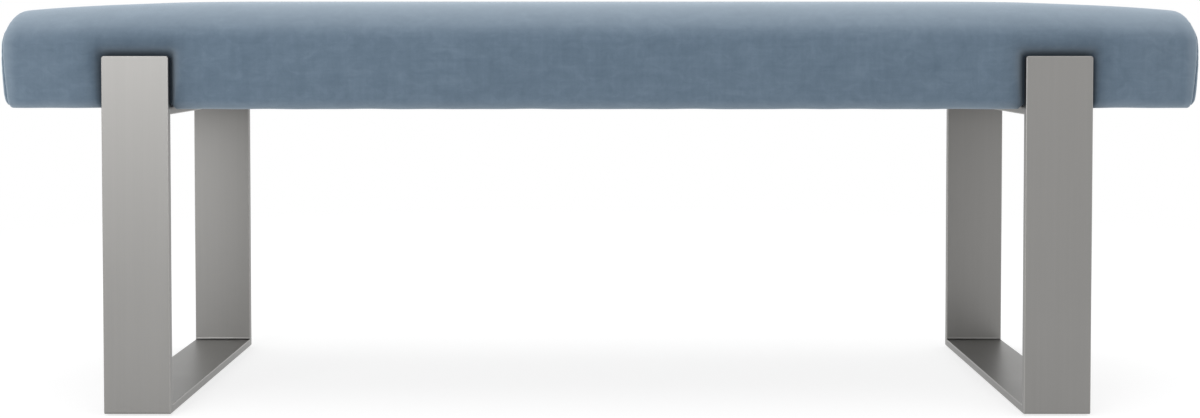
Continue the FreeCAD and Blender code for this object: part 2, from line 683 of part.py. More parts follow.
def seat_board(staples):
    """Plywood with a rounded lower edge, recessed and bored for the seat nuts."""
    body = new_body("seat_board_blank")
    outline = new_sketch(body, "seat_board_outline", "XY_Plane")
    rectangle(outline, BOARD_LENGTH, BOARD_DEPTH)
    pad(body, "seat_board_sheet", outline, "Sizes.board_thickness")
    thickness = value("Sizes.board_thickness")
    round_edges(body, "seat_board_corners", BOARD_CORNER,
                lambda edge: abs(spans(edge, "z") - thickness) < TOLERANCE)
    round_edges(body, "seat_board_lower_edge", "Sizes.board_round_over",
                lambda edge: edge.BoundBox.ZMax < TOLERANCE - thickness / 2)
    for side, sign in SIDES:
        seat_nut_holes(body, side, sign, [("flange", FLANGE_HOLE, FLANGE_RECESS),
                                          ("barrel", BARREL_HOLE, "Sizes.board_thickness")])
    place(body, "0", "0", f"{BOARD_UNDERSIDE} + Sizes.board_thickness / 2")
    doc.recompute()
    return feature("seat_board", body.Shape.cut(staple_slots(staples)))


def dust_cover(staples):
    """Thin cloth with cut-outs for the seat screws."""
    body = new_body("dust_cover_blank")
    outline = new_sketch(body, "dust_cover_outline", "XY_Plane")
    rectangle(outline, "Sizes.bench_length - 2 * Sizes.dust_cover_setback",
              f"{CUSHION_DEPTH} - 2 * Sizes.dust_cover_setback")
    pad(body, "dust_cover_cloth", outline, "Sizes.dust_cover_thickness")
    for side, sign in SIDES:
        circles = new_sketch(body, f"{side}_screw_cut_outs", "XY_Plane",
                             {"x": f"{sign} * {FRAME_X}"})
        circle_grid(circles, SCREW_HOLE)
        pocket(body, f"{side}_screw_cutting", circles)
    place(body, "0", "0", "Sizes.seat_rest_height + Sizes.dust_cover_thickness / 2")
    doc.recompute()
    return feature("dust_cover", body.Shape.cut(staple_slots(staples)))


# The whole bench

def build():
    nodes = []
    for side, sign in SIDES:
        along = f"{sign} * {FRAME_X}"
        setback = "(Sizes.frame_depth - Sizes.bar_thickness) / 2"
        nodes += [
            upright(f"{side}_front_upright", along, f"-{setback}", turned=False),
            upright(f"{side}_rear_upright", along, setback, turned=True),
            cross_member(f"{side}_crossbar", along, CROSSBAR_UNDERSIDE, holes=True),
            cross_member(f"{side}_runner", along, "Sizes.glide_thickness", holes=False),
            frame_welds(f"{side}_frame_welds", along),
            glides(f"{side}_glides", along),
            seat_screws(f"{side}_seat_screws", along),
            seat_washers(f"{side}_seat_washers", along),
            seat_nuts(f"{side}_seat_nuts", along),
        ]
    cover_staples = staple_rows("cover_staples", value(CUSHION_LOW), value("Sizes.cover_staple_setback"),
                                value("Sizes.cover_staple_spacing"), keep_clear=False)
    dust_staples = staple_rows("dust_cover_staples", value("Sizes.seat_rest_height"),
                               value("Sizes.dust_staple_setback"), value("Sizes.dust_staple_spacing"),
                               keep_clear=True)
    nodes += [cover_staples, dust_staples]
    nodes += [seat_board([cover_staples, dust_staples]), dust_cover([dust_staples])]
    nodes += [foam_core(), batting_wrap()]
    nodes += cover_panels([cover_staples, dust_staples])
    return nodes


def write(nodes):
    """Check every object and every sub-part, and only then write the files."""
    doc.recompute()
    for item in doc.Objects:
        if {"Invalid", "Error"} & set(item.State):
            raise RuntimeError(f"{item.Label} failed: {item.State}")
    for node in nodes:
        if node.Shape.isNull() or not node.Shape.isValid() or not node.Shape.Solids:
            raise RuntimeError(f"{node.Label} has no valid solid")
    os.makedirs("parts", exist_ok=True)
    for node in nodes:
        node.Shape.exportStep(f"parts/{node.Label}.step")
        print(f"{node.Label}: {len(node.Shape.Solids)} solids, {node.Shape.Volume / 1000:.2f} cm3")


write(build())
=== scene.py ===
import json
import math

import bmesh
import bpy
import numpy as np
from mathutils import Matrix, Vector, kdtree

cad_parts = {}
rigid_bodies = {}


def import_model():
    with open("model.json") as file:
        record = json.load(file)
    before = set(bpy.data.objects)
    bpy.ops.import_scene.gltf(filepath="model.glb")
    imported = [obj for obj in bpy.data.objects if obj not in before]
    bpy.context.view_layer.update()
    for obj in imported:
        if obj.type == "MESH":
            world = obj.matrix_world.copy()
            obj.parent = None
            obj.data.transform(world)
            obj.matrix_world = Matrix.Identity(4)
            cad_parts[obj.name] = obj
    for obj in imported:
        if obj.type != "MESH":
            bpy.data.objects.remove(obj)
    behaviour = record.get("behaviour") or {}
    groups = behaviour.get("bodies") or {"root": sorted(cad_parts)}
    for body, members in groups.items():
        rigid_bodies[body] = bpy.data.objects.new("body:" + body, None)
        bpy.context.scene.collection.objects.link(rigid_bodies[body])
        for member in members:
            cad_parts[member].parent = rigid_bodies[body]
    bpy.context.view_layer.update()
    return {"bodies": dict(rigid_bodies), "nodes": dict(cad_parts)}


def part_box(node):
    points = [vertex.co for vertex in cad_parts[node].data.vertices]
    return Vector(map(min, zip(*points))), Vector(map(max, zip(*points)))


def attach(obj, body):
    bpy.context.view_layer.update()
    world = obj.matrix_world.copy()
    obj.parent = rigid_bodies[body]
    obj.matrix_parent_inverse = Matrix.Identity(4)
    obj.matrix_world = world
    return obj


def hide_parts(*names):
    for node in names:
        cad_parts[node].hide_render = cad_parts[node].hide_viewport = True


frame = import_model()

# Upholstered bench, dressed over its CAD frame. X runs along the bench, the front is -Y, Z points up.
# The forms and the camera are in millimetres, and MM turns them into Blender's metres. Textures,
# lamps and the floor are in metres, and noise is scaled per metre.

MM = 0.001
BODY = list(frame["bodies"])[0]

# ---------------------------------------------------------------- sizes read from the CAD nodes


def node_box(name):
    """A node's corners, in millimetres."""
    low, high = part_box(name)
    return np.array(low) / MM, np.array(high) / MM


PLATE_LOW, PLATE_HIGH = node_box("right_front_upright")
DUST_LOW, DUST_HIGH = node_box("dust_cover")
PLATE_CENTRE = (PLATE_LOW[0] + PLATE_HIGH[0]) / 2
PLATE_HALF = (PLATE_HIGH[0] - PLATE_LOW[0]) / 2
PLATE_TOP = PLATE_HIGH[2]
PLATE_INNER = -PLATE_HIGH[1]

# ---------------------------------------------------------------- sizes of the cushion

# A pair with ZONE, RUN or BESIDE in its name has the distance where something starts, and the distance
# over which it grows from there.

# Section
UNDERSIDE = DUST_HIGH[2]        # the cover lies on the dust cloth and the crossbars
CROWN_TOP = 475.3
CROWN_FALL = 8.0                # from the middle line to the front edge
HALF_DEPTH = 214.4              # front face at its upper and lower edges
SHOULDER_DEPTH = 68.0           # rounding between the top and the face, along Y
SHOULDER_HEIGHT = 38.0          # and along Z
LOW_RADIUS = 11.0
FACE_BULGE = 9.5
FACE_BULGE_END = 2.6            # at the ends, where the sides draw in
FACE_BULGE_SPAN = 90.0          # from the end, over which it grows
BULGE_LEVEL = 0.46              # its widest point, as a share of the height
BULGE_ZONE = (170.0, 40.0)      # from the middle line

# Ends
END_X = 686.2                   # rim of the end, at mid height
END_FALL = 9.9                  # fall of the top towards each end
END_FALL_SPAN = 330.0
END_FALL_POWER = 3.0
END_TOP_RADIUS = 11.5
END_CORNER_RADIUS = 23.0
END_LOW_RADIUS = 14.5
END_BULGE = 2.6                 # rim further in at its top and bottom
END_BULGE_SPAN = 60.0           # from the end, over which it shows
END_BULGE_LIMIT = 1.2           # largest level that counts, where 1 is the top and -1 the bottom
END_DOME = 3.0                  # end panel proud of its rim
END_DOME_POWER = 2.4
END_ZONE = (500.0, 130.0)       # from the middle of the bench
SEAT_SHIFT = 3.2                # the cushion sits a little to the right on its frames

# End seam and its puckers; a groove or a dip has its height and its reach
SEAM_LOW = 7.4                  # distance from the rim of the end, at the lower corners
SEAM_HIGH = 2.2                 # and round the upper part of the end
SEAM_RUN = (430.0, 75.0)        # height from which it draws further in, downwards
SEAM_TURN_SPAN = 60.0           # over which the main cover's loops turn to follow it
STITCH_GROOVE = (-1.5, 1.0)
SEAM_DIP = (-0.4, 4.0)
WELT = (0.35, 2.2)              # raised by the allowances under the cover
WELT_PLACE = 4.2
PUCKER = 0.35
PUCKER_WAVES = (11.0, 17.0, 7.4)
PUCKER_START = 1.5
PUCKER_REACH = 6.0
PUCKER_OFFSET = 37              # between the ends, so that they differ
TURN_IN_STEPS = (0.03, 0.15, 0.6, 1.0)
MAIN_TURN_IN = -1.5             # the covers close inside the cushion, so that they are solid
END_TURN_IN = -0.6

# Roll along the lower edge
ROLL_HANG = 4.3                 # below the board, between the frames
ROLL_HANG_END = 3.0             # and outside them
ROLL_RIPPLE = 0.35
ROLL_WAVES = (173, 97, 61)
ROLL_BESIDE = (0.3, 4)          # from a crossbar
ROLL_ZONE = (172, 26)           # from the middle line
ROLL_HEIGHT = 44                # height over which it fades

# Faces behind the uprights
FACE_ZONE = (190, 12)           # from the middle line
PRESS_GAP = 0.3                 # cover behind an upright
PRESS_RISE = 11.0               # cover proud of the upright's inner face, away from it
PRESS_REACH = 9.0               # distance over which it rises
PRESS_ROUND = 1.6
PRESS_TUCK = (4.5, 7.0)         # crease along the upright's edge, and its reach
CREASE_SHADE_REACH = 12.0             # distance over which the painted shade round an upright fades out
CREASE_SHADE_SIDEWAYS = 1.3           # how much faster it does so beside an upright than above it

# Mesh: a coarsest spacing, or the finest at a feature with its growth per millimetre away from it
ALONG_COARSE = 7.0
ALONG_PLATE = (1.8, 0.14)
ALONG_SEAM = (0.4, 0.15)
ROUND_TOP = 6.0
ROUND_FACE = 3.4
ROUND_UNDER = (1.6, 0.12)
ROUND_PLATE_TOP = (1.5, 0.1)
ROUND_ROLL = (1.6, 0.1)
SECTION_SAMPLES = 300           # on each part of the section's outline
LENGTH_SAMPLES = 6000
RIM_LOOPS = 16                  # of an end panel, from the seam to the rim
RIM_CLOSENESS = 1.25            # and how much closer they lie at the seam
FACE_LOOPS = 24                 # and from the rim to the middle of the end
FACE_CLOSENESS = 0.9
FLAT_TOLERANCE = 0.01
MERGE_DISTANCE = 2e-6           # in metres

# Swelling: a cloth simulation of the whole cover, coarser than the drawn panels
SIM_SPACING = 9.0
SIM_END_LOOPS = 7
SIM_FRAMES = 20
SIM_CLOTH = {
    "quality": 5, "mass": 0.35, "tension_stiffness": 60, "compression_stiffness": 60,
    "shear_stiffness": 10, "bending_stiffness": 4.0,
    "use_pressure": True, "uniform_pressure_force": 4,
    "vertex_group_mass": "held", "vertex_group_shrink": "sewn",
    "shrink_min": 0.0, "shrink_max": 0.02,
}
FOAM_HOLD = 0.25                # how firmly the foam holds the cover
END_HOLD = 0.8                  # and at the ends; on the board it is fixed
BOARD_REACH = 0.6
SEWN_REACH = 14                 # distance over which the seam draws the cover in
SWELL_LIMIT = 4.0
SWELL_END_SHARE = 0.3           # share of the swelling that is kept at the ends
SWELL_NEAR = 12                 # simulated points that move a drawn one
SWELL_REACH = 8

# ---------------------------------------------------------------- shape functions


def smooth(x):
    """Smooth step from 0 to 1."""
    x = np.clip(x, 0, 1)
    return x * x * (3 - 2 * x)


def rise(distance, start, run):
    """Smooth step that starts at a distance and takes a run."""
    return smooth((distance - start) / run)


def hump(distance, height, reach):
    """Bell of a height at distance 0, which falls off over a reach."""
    return height * np.exp(-((distance / reach) ** 2))


def soft_min(a, b, reach):
    """Smaller of two values, rounded where they meet."""
    h = np.clip(0.5 + (b - a) / (2 * reach), 0, 1)
    return b * (1 - h) + a * h - reach * h * (1 - h)


def edge_inset(radius, t):
    """How far a rounded edge has drawn in at a distance t from its tangent plane."""
    t = np.clip(t, 0, radius)
    return radius - np.sqrt(np.maximum(radius**2 - (radius - t) ** 2, 0))


def waves(position, lengths, phase):
    """Irregular ripple between -1 and 1 along a path, from a few fixed wavelengths."""
    total = sum(np.sin(2 * np.pi * position / length + phase * (k + 1.3) ** 1.5)
                for k, length in enumerate(lengths))
    return total / len(lengths)


def beside_plate(x):
    """Distance along X from the edge of the nearer upright, negative between its edges."""
    return np.abs(np.abs(x) - PLATE_CENTRE) - PLATE_HALF


def mirrored(loops):
    return loops * np.array([-1, 1, 1])


# ---------------------------------------------------------------- cushion form


def half_section():
    """Dense outline of half the section, from the bottom middle over the face to the top middle."""
    q = np.linspace(0, 1, SECTION_SAMPLES)
    low = UNDERSIDE + LOW_RADIUS
    shoulder = CROWN_TOP - CROWN_FALL - SHOULDER_HEIGHT
    flat = np.stack([q * (HALF_DEPTH - LOW_RADIUS), 0 * q + UNDERSIDE], 1)
    turn = -np.pi / 2 + q * np.pi / 2
    y = HALF_DEPTH - LOW_RADIUS + LOW_RADIUS * np.cos(turn)
    roll = np.stack([y, low + LOW_RADIUS * np.sin(turn)], 1)
    face = np.stack([0 * q + HALF_DEPTH, low + q * (shoulder - low)], 1)
    turn = q * np.pi / 2
    y = HALF_DEPTH - SHOULDER_DEPTH + SHOULDER_DEPTH * np.cos(turn)
    crown = CROWN_TOP - CROWN_FALL * (y / HALF_DEPTH) ** 2
    over = np.stack([y, crown - SHOULDER_HEIGHT * (1 - np.sin(turn))], 1)
    y = (1 - q) * (HALF_DEPTH - SHOULDER_DEPTH)
    top = np.stack([y, CROWN_TOP - CROWN_FALL * (y / HALF_DEPTH) ** 2], 1)
    return np.concatenate([flat[:-1], roll[:-1], face[:-1], over[:-1], top])


def resample(line, spacing):
    """Points along a polyline; spacing gives the wished distance at each of its points."""
    step = np.linalg.norm(np.diff(line, axis=0), axis=1)
    wish = np.array([spacing(p) for p in line])
    density = np.concatenate([[0], np.cumsum(step * 2 / (wish[1:] + wish[:-1]))])
    count = int(round(density[-1]))
    target = np.linspace(0, density[-1], count + 1)
    return np.stack([np.interp(target, density, line[:, k]) for k in range(line.shape[1])], 1)


def full_section(spacing):
    """Closed section loop (y, z), from the bottom middle up the front and down the back."""
    half = resample(half_section(), spacing)
    return np.concatenate([half * np.array([-1, 1]), half[::-1][1:-1]])


def ring(section, x):
    """The section loop at x, from the middle of the bench to the rim of its right end."""
    t = END_X - x
    height = CROWN_TOP - UNDERSIDE
    side = edge_inset(END_CORNER_RADIUS, t)
    top = edge_inset(END_TOP_RADIUS, t)
    fall = np.clip((x - (END_X - END_FALL_SPAN)) / END_FALL_SPAN, 0, None)
    top += END_FALL * fall**END_FALL_POWER
    low = edge_inset(END_LOW_RADIUS, t)
    level = (section[:, 1] - (UNDERSIDE + height * BULGE_LEVEL)) / (height / 2)
    start, run = BULGE_ZONE
    bulge = FACE_BULGE_END + (FACE_BULGE - FACE_BULGE_END) * smooth(t / FACE_BULGE_SPAN)
    bulge = bulge * np.clip(1 - level**2, 0, 1)
    bulge = bulge * np.clip((np.abs(section[:, 0]) - start) / run, 0, 1)
    y = section[:, 0] * (HALF_DEPTH - side) / HALF_DEPTH + np.sign(section[:, 0]) * bulge
    z = UNDERSIDE + low + (section[:, 1] - UNDERSIDE) * (height - top - low) / height
    inward = END_BULGE * np.clip(np.abs(level), 0, END_BULGE_LIMIT) ** 2
    inward = inward * np.clip(1 - t / END_BULGE_SPAN, 0, 1)
    return np.stack([x - inward, y, z], 1)


def seam_setback(section):
    """Distance of the end seam from the rim of the end, at each point of the section."""
    start, run = SEAM_RUN
    return SEAM_HIGH + (SEAM_LOW - SEAM_HIGH) * smooth((start - section[:, 1]) / run)


def medial_cap(loop, dome, steps, power=2.0):
    """Loops that shrink to the middle line of a loop's shape, rising by dome."""
    low, high = loop.min(0), loop.max(0)
    centre = (low + high) / 2
    reach = (high[1] - low[1]) / 2 - (high[2] - low[2]) / 2
    x, y = loop[:, 0], loop[:, 1]
    middle = np.stack([x, np.clip(y, -reach, reach), 0 * x + centre[2]], 1)
    out = []
    for s in steps:
        blend = loop + s * (middle - loop)
        blend[:, 0] = x + (high[0] - x) * smooth(s) + dome * (1 - (1 - s) ** power)
        out.append(blend)
    return np.array(out)


def linked_object(name, mesh):
    piece = bpy.data.objects.new(name, mesh)
    bpy.context.scene.collection.objects.link(piece)
    return piece


def vertex_places(mesh):
    """A mesh's points, in millimetres."""
    places = np.empty(len(mesh.vertices) * 3, np.float32)
    mesh.vertices.foreach_get("co", places)
    return places.reshape(-1, 3) / MM


def closed_mesh(name, loops, side=1):
    """Closed smooth mesh through equal loops; the first and last loops lie on a line and close it.

    The loops follow each other towards +X, or towards -X where side is -1.
    """
    count = loops.shape[1]
    ring_of = np.arange(count)
    start = (np.arange(len(loops) - 1) * count)[:, None]
    a, b = start + ring_of, start + (ring_of + 1) % count
    faces = np.stack([a, a + count, b + count, b], 2).reshape(-1, 4)[:, ::side]
    mesh = bpy.data.meshes.new(name)
    mesh.from_pydata((loops.reshape(-1, 3) * MM).tolist(), [], faces.tolist())
    work = bmesh.new()
    work.from_mesh(mesh)
    bmesh.ops.remove_doubles(work, verts=work.verts, dist=MERGE_DISTANCE)
    for face in work.faces:
        face.smooth = True
    work.to_mesh(mesh)
    work.free()
    return linked_object(name, mesh)


def graded(spacing, away):
    """Spacing at a distance from a feature."""
    finest, growth = spacing
    return finest + growth * away


def spacing_along(x):
    """Wished distance between loops at a distance x from the middle of the bench."""
    near_plate = min(abs(x - PLATE_CENTRE - PLATE_HALF), abs(x - PLATE_CENTRE + PLATE_HALF))
    near_seam = abs(END_X - SEAM_LOW - x)
    return min(ALONG_COARSE, graded(ALONG_PLATE, near_plate), graded(ALONG_SEAM, near_seam))


def spacing_round(point):
    """Wished distance between the section's points."""
    y, z = point
    if z < UNDERSIDE + FLAT_TOLERANCE:
        return graded(ROUND_UNDER, max(0, HALF_DEPTH - LOW_RADIUS - y))
    if y < HALF_DEPTH - SHOULDER_DEPTH:
        return ROUND_TOP
    near_plate_top = graded(ROUND_PLATE_TOP, abs(z - PLATE_TOP))
    near_roll = graded(ROUND_ROLL, max(0, z - UNDERSIDE - LOW_RADIUS))
    return min(ROUND_FACE, near_plate_top, near_roll)


SECTION = full_section(spacing_round)

# ---------------------------------------------------------------- swelling


def sim_shell():
    """The whole cover as one closed cloth, before it swells."""
    section = full_section(lambda point: SIM_SPACING)
    stations = np.linspace(0, END_X, int(END_X / SIM_SPACING) + 1)
    right = [ring(section, x) for x in stations]
    cap = medial_cap(right[-1], END_DOME, np.linspace(0, 1, SIM_END_LOOPS)[1:])
    right = np.concatenate([np.array(right), cap])
    return closed_mesh("cushion_sim", np.concatenate([mirrored(right[::-1]), right[1:]]))


def swell_samples():
    """Points of the cover, and how far the pressed cloth moves them as it settles."""
    shell = sim_shell()
    before = vertex_places(shell.data)
    held = shell.vertex_groups.new(name="held")
    sewn = shell.vertex_groups.new(name="sewn")
    for k, (x, y, z) in enumerate(before):
        hold = FOAM_HOLD + (END_HOLD - FOAM_HOLD) * float(rise(abs(x), *END_ZONE))
        held.add([k], 1.0 if z < UNDERSIDE + BOARD_REACH else hold, "REPLACE")
        near_seam = max(0.0, 1 - abs(abs(x) - (END_X - SEAM_LOW)) / SEWN_REACH)
        if near_seam > 0:
            sewn.add([k], near_seam, "REPLACE")
    cloth = shell.modifiers.new("cloth", "CLOTH")
    for setting, value in SIM_CLOTH.items():
        setattr(cloth.settings, setting, value)
    cloth.settings.effector_weights.gravity = 0
    cloth.collision_settings.use_collision = False
    cloth.point_cache.frame_start = 1
    cloth.point_cache.frame_end = SIM_FRAMES
    scene = bpy.context.scene
    for number in range(1, SIM_FRAMES + 1):
        scene.frame_set(number)
    settled = shell.evaluated_get(bpy.context.evaluated_depsgraph_get()).data
    after = vertex_places(settled)
    scene.frame_set(1)
    bpy.data.objects.remove(shell)
    return before, after - before


def swell_field():
    """A function that gives the cover's swelling at any points of it."""
    places, moves = swell_samples()
    length = np.linalg.norm(moves, axis=1)
    limited = SWELL_LIMIT * np.tanh(length / SWELL_LIMIT)
    moves = moves * (limited / np.maximum(length, 1e-6))[:, None]
    tree = kdtree.KDTree(len(places))
    for k, place in enumerate(places):
        tree.insert(place, k)
    tree.balance()

    def at(points):
        flat = points.reshape(-1, 3)
        out = np.empty_like(flat)
        for k, point in enumerate(flat):
            near = tree.find_n(point, SWELL_NEAR)
            weights = np.array([1 / (1 + (d / SWELL_REACH) ** 2) ** 2 for _, _, d in near])
            out[k] = (moves[[i for _, i, _ in near]] * weights[:, None]).sum(0) / weights.sum()
        share = 1 + (SWELL_END_SHARE - 1) * rise(np.abs(points[..., :1]), *END_ZONE)
        return share * out.reshape(points.shape)

    return at


SWELL = swell_field()

# ---------------------------------------------------------------- board, frames and sewing


def outward(points, side):
    """Unit normals of a grid of loops that follow each other towards +X, or -X where side is -1."""
    along = np.gradient(points, axis=0) * side
    around = np.roll(points, -1, axis=1) - np.roll(points, 1, axis=1)
    normal = np.cross(along, around)
    return normal / np.maximum(np.linalg.norm(normal, axis=2, keepdims=True), 1e-9)


def hang(points):
    """The roll at the lower edge hangs a little below the board, but not over the crossbars."""
    x, y, z = np.abs(points[..., 0]), np.abs(points[..., 1]), points[..., 2]
    clear = rise(beside_plate(x), *ROLL_BESIDE)
    amount = np.where(x > PLATE_CENTRE, ROLL_HANG_END, ROLL_HANG) * clear
    amount = amount + ROLL_RIPPLE * clear * waves(points[..., 0], ROLL_WAVES, 1.0)
    share = rise(y, *ROLL_ZONE) * smooth((UNDERSIDE + ROLL_HEIGHT - z) / ROLL_HEIGHT)
    out = points.copy()
    out[..., 2] -= amount * share
    return out


def press(points):
    """The uprights hold the faces back, and the cover swells out round them."""
    y = points[..., 1]
    beside = beside_plate(points[..., 0])
    above = points[..., 2] - PLATE_TOP
    away = np.hypot(np.maximum(beside, 0), np.maximum(above, 0))
    inside = np.minimum(np.maximum(-beside, 0), np.maximum(-above, 0))
    tuck = hump(away + inside, *PRESS_TUCK)
    limit = PLATE_INNER - PRESS_GAP - tuck + PRESS_RISE * (1 - np.exp(-away / PRESS_REACH))
    face = rise(np.abs(y), *FACE_ZONE)
    held = soft_min(np.abs(y), limit, PRESS_ROUND)
    out = points.copy()
    out[..., 1] = np.sign(y) * (np.abs(y) * (1 - face) + held * face)
    return out


def crease_shade(points):
    """Share of painted shade at points of a face: 1 at the edge of an upright, and 0 away from it."""
    beside = np.maximum(beside_plate(points[:, 0]), 0)
    away = np.hypot(CREASE_SHADE_SIDEWAYS * beside, np.maximum(points[:, 2] - PLATE_TOP, 0))
    return np.exp(-away / CREASE_SHADE_REACH) * rise(np.abs(points[:, 1]), *FACE_ZONE)


def mark_crease_shade(piece):
    """Keeps the painted shade round the uprights on the mesh, as a point attribute."""
    values = crease_shade(vertex_places(piece.data)).astype(np.float32)
    piece.data.attributes.new("crease_shade", "FLOAT", "POINT").data.foreach_set("value", values)


def dressed(points, seam_distance, path, side=1):
    """Swelling, seam, puckers, hanging roll and pressed faces, in that order.

    seam_distance is each point's distance from the end seam, and path its place along that seam.
    """
    out = points + SWELL(points)
    normal = outward(out, side)
    groove = hump(seam_distance, *STITCH_GROOVE) + hump(seam_distance, *SEAM_DIP)
    welt = hump(seam_distance - WELT_PLACE, *WELT)
    fade = np.exp(-seam_distance / PUCKER_REACH)
    pucker = waves(path, PUCKER_WAVES, 2.0) * fade * smooth(seam_distance / PUCKER_START)
    draw = PUCKER * pucker + groove + welt
    out = out + normal * draw[..., None]
    out[..., 0] += SEAT_SHIFT
    return press(hang(out))


def path_along(loops):
    """Distance of each point of the loops along them."""
    step = np.linalg.norm(np.diff(loops[len(loops) // 2], axis=0), axis=1)
    return np.tile(np.concatenate([[0], np.cumsum(step)]), (len(loops), 1))


def main_cover():
    """The panel that wraps the front, the top and the back, from one end seam to the other."""
    setback = seam_setback(SECTION)
    seam_x = END_X - SEAM_LOW
    line = np.stack([np.linspace(0, seam_x, LENGTH_SAMPLES)], 1)
    half = resample(line, lambda point: spacing_along(point[0]))[:, 0]
    turned = smooth((half[:, None] - seam_x + SEAM_TURN_SPAN) / SEAM_TURN_SPAN)
    place = half[:, None] + (SEAM_LOW - setback) * turned
    right = np.array([ring(SECTION, x) for x in place])
    loops = np.concatenate([mirrored(right[::-1]), right[1:]])
    distance = END_X - setback - np.concatenate([place[::-1], place[1:]])
    loops = dressed(loops, distance, path_along(loops))
    last = medial_cap(loops[-1], MAIN_TURN_IN, TURN_IN_STEPS)
    first = mirrored(medial_cap(mirrored(loops[0]), MAIN_TURN_IN, TURN_IN_STEPS))[::-1]
    return closed_mesh("cushion_main_cover", np.concatenate([first, loops, last]))


def end_cover(name, side):
    """The panel inside an end seam; side is 1 at the right end and -1 at the left."""

    def placed(points):
        return mirrored(points) if side < 0 else points

    setback = seam_setback(SECTION)
    turn = np.linspace(0, 1, RIM_LOOPS)[:, None] ** RIM_CLOSENESS * np.pi / 2
    stations = END_X - setback * (1 - np.sin(turn))
    rim = np.array([ring(SECTION, x) for x in stations])
    steps = np.linspace(0, 1, FACE_LOOPS)[1:] ** FACE_CLOSENESS
    loops = np.concatenate([rim, medial_cap(rim[-1], END_DOME, steps, END_DOME_POWER)])
    distance = np.linalg.norm(loops - loops[0], axis=2)
    path = path_along(rim)[:1].repeat(len(loops), 0) + PUCKER_OFFSET * side
    loops = dressed(placed(loops), distance, path, side)
    inner = placed(medial_cap(placed(loops[0]), END_TURN_IN, TURN_IN_STEPS))
    return closed_mesh(name, np.concatenate([inner[::-1], loops]), side)


main = main_cover()
right_end = end_cover("cushion_right_end", 1)
left_end = end_cover("cushion_left_end", -1)
# each cover keeps the painted shade round the uprights
for piece in (main, right_end, left_end):
    mark_crease_shade(piece)

# ---------------------------------------------------------------- dust cloth

DUST_POINTS = (334, 99)         # along X and Y
DUST_THICK = 0.3
DUST_SAG = 1.6
DUST_EDGE_ZONE = (12, 48)       # from its edge
DUST_BESIDE_BAR = (0, 60)       # from a crossbar
DUST_CREASE = 0.35              # share of the sag that comes and goes in shallow folds
DUST_SLANT = 0.35               # slope of one set of folds
DUST_LIFT = 0.15                # above the CAD cloth's underside, so that the staples show
DUST_LIFT_BAR = 0.03            # and on the crossbars


def dust_sheet():
    """Thin black cloth drawn tight under the board; it sags a little between the crossbars."""
    x = np.linspace(DUST_LOW[0], DUST_HIGH[0], DUST_POINTS[0])
    y = np.linspace(DUST_LOW[1], DUST_HIGH[1], DUST_POINTS[1])
    gx, gy = np.meshgrid(x, y, indexing="ij")
    edge = np.minimum(DUST_HIGH[0] - np.abs(gx), DUST_HIGH[1] - np.abs(gy))
    off_bar = np.maximum(beside_plate(gx), 0)
    free = rise(edge, *DUST_EDGE_ZONE) * rise(off_bar, *DUST_BESIDE_BAR)
    folds = waves(gx + DUST_SLANT * gy, (71, 43, 29), 0.7) * waves(gy, (83, 57), 1.9)
    drop = DUST_SAG * free * (1 + DUST_CREASE * folds)
    low = np.where(off_bar <= 0, DUST_LOW[2] + DUST_LIFT_BAR, DUST_LOW[2] + DUST_LIFT - drop)
    under = np.stack([gx, gy, low], 2).reshape(-1, 3)
    over = np.stack([gx, gy, low + DUST_THICK], 2).reshape(-1, 3)
    points = np.concatenate([under, over])
    index = np.arange(gx.size).reshape(gx.shape)
    a, b, c, d = index[:-1, :-1], index[1:, :-1], index[1:, 1:], index[:-1, 1:]
    bottom = np.stack([a, d, c, b], 2).reshape(-1, 4)
    top = np.stack([a, b, c, d], 2).reshape(-1, 4) + gx.size
    around = np.concatenate([index[:, 0], index[-1, 1:], index[-2::-1, -1], index[0, -2:0:-1]])
    following = np.roll(around, -1)
    wall = np.stack([around, following, following + gx.size, around + gx.size], 1)
    mesh = bpy.data.meshes.new("dust_cloth")
    mesh.from_pydata((points * MM).tolist(), [], np.concatenate([bottom, top, wall]).tolist())
    for face in mesh.polygons:
        face.use_smooth = True
    return linked_object("dust_cloth", mesh)


cloth_under = dust_sheet()

# ---------------------------------------------------------------- materials


def linear(red, green, blue):
    """Linear colour from sRGB values of 0 to 255."""
    out = []
    for v in (red / 255, green / 255, blue / 255):
        out.append(v / 12.92 if v <= 0.04045 else ((v + 0.055) / 1.055) ** 2.4)
    return (*out, 1.0)


# A list of stops gives a tone for each level of a mottled shade about 0.5
VELVET_BODY = [(0.2, linear(88, 105, 121)), (0.5, linear(100, 117, 133)),
               (0.8, linear(113, 130, 146))]
VELVET_SHEEN = linear(214, 226, 238)
# painted sheen: a pale tone mixed into the velvet's colour where it is seen edge-on
VELVET_PAINTED_SHEEN = linear(206, 220, 232)
# painted shade: a dark tone mixed into the velvet's colour round the uprights
VELVET_PAINTED_SHADE = linear(22, 28, 36)
VELVET_PAINTED_SHEEN_POWER = 1.15
VELVET_PAINTED_SHEEN_SHARE = 0.52
VELVET_PAINTED_SHADE_SHARE = 0.7
STEEL = linear(133, 132, 130)
STEEL_ROUGH = 0.39
WELD_ROUGH = 0.34
BRUSH_STRETCH = 0.012           # of the grain, along the bar
EDGE_WIDTH = 0.0013             # of the polished edges
EDGE_CORE = 0.55                # share of it that is polished fully
# painted highlight: how much paler the edges' colour is made
EDGE_PAINTED_HIGHLIGHT = 0.35
EDGE_ROUGHER = -0.08
ZINC_PLATE = linear(176, 178, 180)
ZINC_ROUGH = 0.34
STAPLE_WIRE = linear(168, 168, 170)
WIRE_ROUGH = 0.4
ZINC_DARKER = 0.75
BIRCH = [(0.25, linear(176, 138, 96)), (0.75, linear(214, 184, 142))]
PLY_THICKNESS = 0.0028
BLACK_CLOTH = [(0.2, linear(22, 22, 24)), (0.8, linear(52, 52, 55))]
BLACK_PLASTIC = [(0.35, linear(28, 28, 29)), (0.8, linear(58, 58, 59))]


